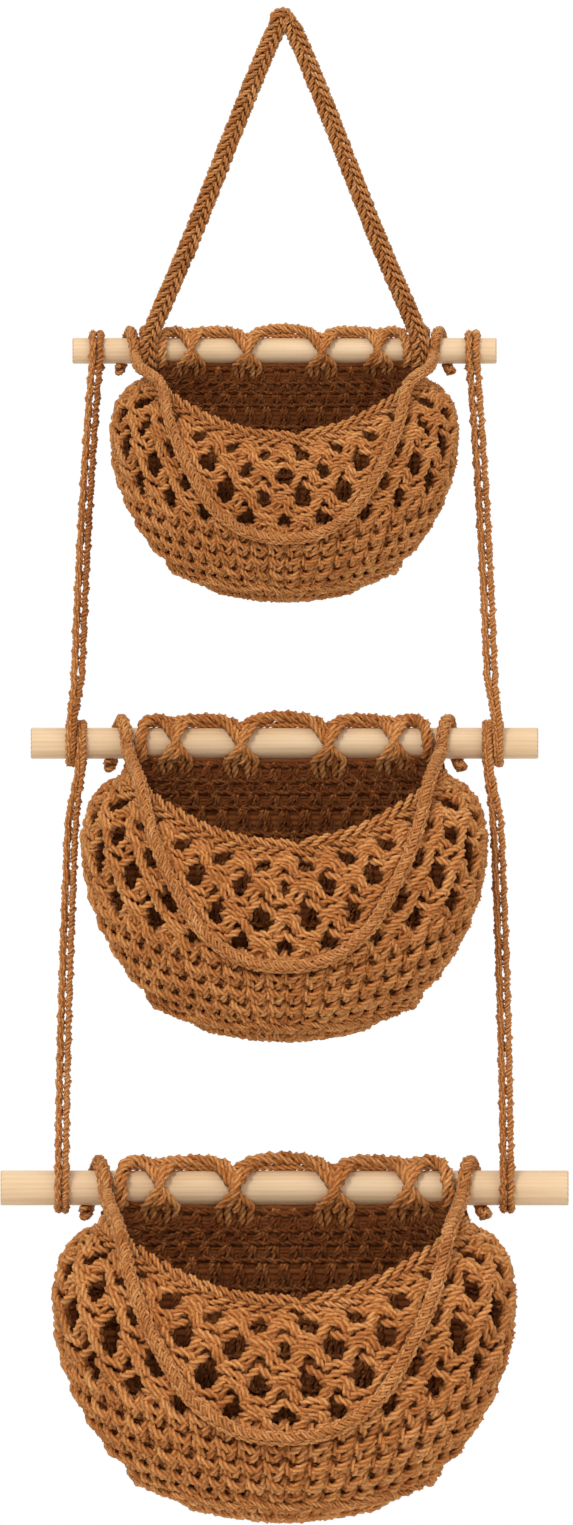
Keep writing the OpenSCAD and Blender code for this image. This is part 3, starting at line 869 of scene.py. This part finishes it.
def twisted(work, route, count, reach, radius, pitch):
    """Strands wound round each other along a route."""
    at = np.linspace(0, route.length, max(8, int(route.length / 1.6)))
    for k in range(count):
        turn = 2 * math.pi * (at / pitch + k / count)
        work.lay(route.place(at, reach * np.cos(turn), reach * np.sin(turn)), radius, taper=False)


def back_top(cloth, x):
    """How far the back wall's top edge lies above the dowel's middle."""
    share = (np.abs(x) / (cloth.size[0] / 2 * LEVELS[0][0])) ** (BACK_ROUND / 2)
    phi = np.array([math.acos(min(share, 1))])
    return cloth.ring(0, LEVELS[0], phi)[0][2] - dowel_z[cloth.tier]


def dowel_loops(tier, cloth):
    """Posts in front of and behind the dowel: a twisted waist inside two pairs of strands that
    cross on the dowel and spread at both ends."""
    name = TIERS[tier]
    width = basket_size[tier][0]
    radius = chain_radius[tier]
    strand = yarn_radius[tier]
    seat = dowel_radius[tier] + 1.25 * lie_gap + 0.7 * radius
    work = Work(f"{name}_dowel_stitches", crochet, f"{name}_basket", "crochet")
    posts = [(side * share * width, angle, POST_END)
        for side in (-1, 1) for share, angle in FRONT_POSTS]
    posts += [(side * BACK_POST * width, BACK_POST_START, -POST_END) for side in (-1, 0, 1)]
    for x, first, last in posts:
        in_front = first > 0
        angle = np.linspace(first, last, 16)
        waist = Route(round_dowel(x, dowel_z[tier], seat + 0.3 * strand, angle), (1, 0, 0))
        twisted(work, waist, 2, 0.95 * strand, 1.05 * strand, 9 * strand)
        for side in (-1, 1):
            for layer, spread in ((0, 1.35), (1, 0.62)):
                share = np.linspace(POST_SHARES[0] if in_front else 0.0, 1.0, 14)
                angle = first + (last - first) * share
                swing = np.interp(share, POST_SHARES, FRONT_SWING if in_front else BACK_SWING)
                lift = np.interp(share, (-0.3, 0.0, 0.3, 0.5, 1.0), (0.3, 0.7, 0.35 + 0.7 * layer,
                    0.5, 0.1)) + (0.45 if side > 0 else 0.0)
                points = round_dowel(x + side * spread * swing * strand, dowel_z[tier],
                    seat + lift * strand, angle)
                foot = np.array([[x - side * spread * 2.6 * strand, -fabric[tier] / 2,
                    dowel_z[tier] + back_top(cloth, x) - 1.5 * strand]])
                work.lay(curve(np.vstack([points, foot]), 2), strand * 1.25)
    work.make(f"{name}_dowel_loops")


def strap_points(tier):
    """The front strap's line from one end of its hitch to the other."""
    width, depth, height = basket_size[tier]
    radius = strap_radius[tier]
    seat = dowel_radius[tier] + lie_gap + radius
    turns = STRAP_WRAP // WRAP_STEP
    hitch = [round_dowel(-mix(strap_x[tier], strap_end_x[tier], max(k - 1, 0) / (turns - 1)), 0,
        seat, 90 - k * WRAP_STEP) for k in range(turns, -1, -1)]
    leave = ((strap_x[tier] - 0.8 * radius) / (width / 2), 0.300, 0.030)
    leg = curve([(-x * width / 2, -y * depth - radius - lie_gap, -z * height)
        for x, y, z in (leave, *STRAP_ROUTE)], 2)
    half = np.vstack([hitch, leg])
    whole = np.vstack([half, flipped(half[-2::-1])])
    return whole + np.array([0, 0, dowel_z[tier]])


def front_strap(tier):
    """The strap in front of a basket, hitched round the dowel at both ends."""
    name = TIERS[tier]
    radius = strap_radius[tier]
    points = strap_points(tier)
    route = Route(curve(points, 2), (1, 0, 0))
    work = Work(f"{name}_strap_cord", corded, f"{name}_strap", "cord")
    for turned in (90, 270):
        braid(work, route, 1.45 * radius, radius * 0.66, radius * 0.60, radius * 0.46,
            turned=turned)
    # The core strand is darkened as painted shade, as it lies between the braid's strands.
    core(work, route, 1, 200, radius * 0.55, inner=0.8)
    made = work.make(f"{name}_front_strap")


def loop_points():
    """The hanging loop's line, from the end of one eye over the crook to the end of the other."""
    seat = dowel_radius[UPPER] + lie_gap + loop_radius
    z = dowel_z[UPPER]
    turns = LOOP_WRAP // WRAP_STEP
    leg = curve([(-0.055 * hang_x * 2, 0, 0.048 * z), (-0.32 * hang_x, -0.2 * seat, 0.26 * z),
        (-0.68 * hang_x, -0.6 * seat, 0.64 * z), (-0.94 * hang_x, -seat, 0.89 * z),
        (-hang_x, -seat, 0.96 * z)], 3)
    eye = np.array([round_dowel(-hang_x, z, seat, 90 + k * WRAP_STEP) for k in range(turns + 1)])
    down = np.vstack([leg, eye])
    fold = []
    for angle in range(-CROOK_TURN, CROOK_TURN + 1, 11):
        reach = mix(loop_fold, 2 * loop_radius + 0.8, (abs(angle) / CROOK_TURN) ** 1.3) / 2
        turn = math.radians(angle)
        fold.append(np.array([math.sin(turn), 0, math.cos(turn)]) * reach)
    return np.vstack([down[::-1], fold, flipped(down)])


def hanging_loop():
    """The braided cord over the hook, with an eye round the upper dowel at both ends."""
    points = loop_points()
    route = Route(curve(points, 2), (1, 0, 0))
    work = Work("hanging_cord", corded, "hanging_loop", "cord")
    for turned in (0, 180):
        braid(work, route, 6.2, 4.9, 2.6, 1.75, turned=turned, meet=route.length / 2)
    core(work, route, 1, 300, 1.8)
    made = work.make("hanging_loop")


def whole_strip(distance):
    """0 beside a dowel that a side cord shares with another and 1 where it has its full width."""
    return np.clip((distance - 20) / 25, 0, 1)


def side_points(tier, top_halved, bottom_halved):
    """A left side cord's line between two dowels, with an eye round each of them."""
    top_seat, bottom_seat = (dowel_radius[i] + lie_gap + side_thickness / 2
        for i in (tier, tier + 1))
    top_x = side_x[tier] - (side_shift if top_halved else 0)
    bottom_x = side_x[tier + 1] + (side_shift if bottom_halved else 0)
    turns = SIDE_WRAP // WRAP_STEP
    drop = dowel_z[tier] - dowel_z[tier + 1]
    points = [round_dowel(-top_x, dowel_z[tier], top_seat, 90 - k * WRAP_STEP)
        for k in range(turns + 5, -1, -1)]
    for t in (0.06, 0.16, 0.28, 0.4, 0.52, 0.64, 0.74, 0.84, 0.94):
        x = mix(side_x[tier], side_x[tier + 1], t) + 1.8 * 4 * t * (1 - t)
        at_top = 1 - whole_strip(t * drop) if top_halved else 0
        at_bottom = 1 - whole_strip((1 - t) * drop) if bottom_halved else 0
        points.append(np.array([-(x + (at_bottom - at_top) * side_shift),
            -mix(top_seat, bottom_seat, t), dowel_z[tier] - t * drop]))
    points += [round_dowel(-bottom_x, dowel_z[tier + 1], bottom_seat, 90 + k * WRAP_STEP)
        for k in range(turns + 6)]
    return np.array(points)


def side_cord(tier, side, top_halved, bottom_halved):
    """A flat strip of two twisted columns that lie together and part every 14 mm for a hole. It is
    narrower at a halved end, where it shares the dowel with the next cord."""
    points = side_points(tier, top_halved, bottom_halved)
    if side == "right":
        points = flipped(points)
    route = Route(curve(points, 2), (1, 0, 0))
    pair = "upper" if tier == UPPER else "lower"
    work = Work(f"{side}_{pair}_side_strip", corded, f"{pair}_side_cords", "cord")
    pitch = route.length / int(route.length / 14.0)
    z = route.points[:, 2]
    reach = np.full(len(z), math.inf)
    if top_halved:
        reach = np.minimum(reach, np.maximum(dowel_z[tier] - z, 0))
    if bottom_halved:
        reach = np.minimum(reach, np.maximum(z - dowel_z[tier + 1], 0))
    half = mix(side_half_width, side_width, whole_strip(reach)) / 2
    strand = 1.95
    at = np.linspace(0.5, route.length - 0.5, int(route.length / 1.1))
    wide = np.interp(at, route.lengths, half)
    hole = np.clip(1 - np.abs((at / pitch) % 1 - 0.5) * pitch / 3.0, 0, 1)
    for way in (-1, 1):
        column = wide - 1.65 - 0.85 * (1 - hole) * (wide > 3.6)
        for k in (0, 1):
            turn = way * 2 * math.pi * at / (pitch / 2) + k * math.pi
            work.lay(route.place(at, way * column + 0.95 * np.cos(turn), 1.05 * np.sin(turn)),
                strand, taper=False)
    made = work.make(f"{side}_{pair}_side_cord")


def dowel(tier):
    """The dowel keeps its turned solid and gets its wood."""
    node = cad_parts[f"{TIERS[tier]}_dowel"]
    node.data.materials.clear()
    node.data.materials.append(wood_finish(tier))


def studio():
    """A pale floor, a plain pale surround and soft light from above and in front."""
    world = bpy.data.worlds.new("studio")
    scene.world = world
    world.use_nodes = True
    tree = world.node_tree
    tree.nodes.clear()
    path = tree.nodes.new("ShaderNodeLightPath")
    seen = path.outputs["Is Camera Ray"]
    for ray in ("Is Glossy Ray", "Is Transmission Ray"):
        either = tree.nodes.new("ShaderNodeMath")
        either.operation = "MAXIMUM"
        tree.links.new(seen, either.inputs[0])
        tree.links.new(path.outputs[ray], either.inputs[1])
        seen = either.outputs[0]
    mixed = tree.nodes.new("ShaderNodeMixShader")
    tree.links.new(seen, mixed.inputs[0])
    for socket, strength in ((1, 0.85), (2, 1.0)):
        light = tree.nodes.new("ShaderNodeBackground")
        light.inputs["Color"].default_value = (1, 1, 1, 1)
        light.inputs["Strength"].default_value = strength
        tree.links.new(light.outputs[0], mixed.inputs[socket])
    end = tree.nodes.new("ShaderNodeOutputWorld")
    tree.links.new(mixed.outputs[0], end.inputs["Surface"])

    mesh = bmesh.new()
    bmesh.ops.create_grid(mesh, x_segments=1, y_segments=1, size=1.6)
    bmesh.ops.translate(mesh, verts=mesh.verts, vec=(0, 0, -1.35))
    floor_mesh = bpy.data.meshes.new("floor")
    mesh.to_mesh(floor_mesh)
    mesh.free()
    floor = bpy.data.objects.new("floor", floor_mesh)
    scene.collection.objects.link(floor)
    pale = Finish("pale_floor")
    pale.shader.inputs["Base Color"].default_value = (0.9, 0.9, 0.9, 1)
    pale.shader.inputs["Roughness"].default_value = 0.9
    floor_mesh.materials.append(pale.material)

    for name, turn, strength, angle in (("front_lamp", (46, 0, -22), 1.25, 16),
            ("side_lamp", (60, 0, 50), 0.3, 30)):
        data = bpy.data.lights.new(name, "SUN")
        data.energy = strength
        data.angle = math.radians(angle)
        lamp = bpy.data.objects.new(name, data)
        lamp.rotation_euler = [math.radians(a) for a in turn]
        scene.collection.objects.link(lamp)
    scene.view_settings.view_transform = "Standard"


hanging_loop()
for side in ("left", "right"):
    side_cord(UPPER, side, False, True)
    side_cord(MIDDLE, side, True, False)
for tier in (UPPER, MIDDLE, LOWER):
    dowel(tier)
    cloth = Fabric(tier)
    basket(tier, cloth)
    rim(tier, cloth)
    edge_chain(tier)
    dowel_loops(tier, cloth)
    front_strap(tier)
bpy.data.objects.remove(profile)
studio()
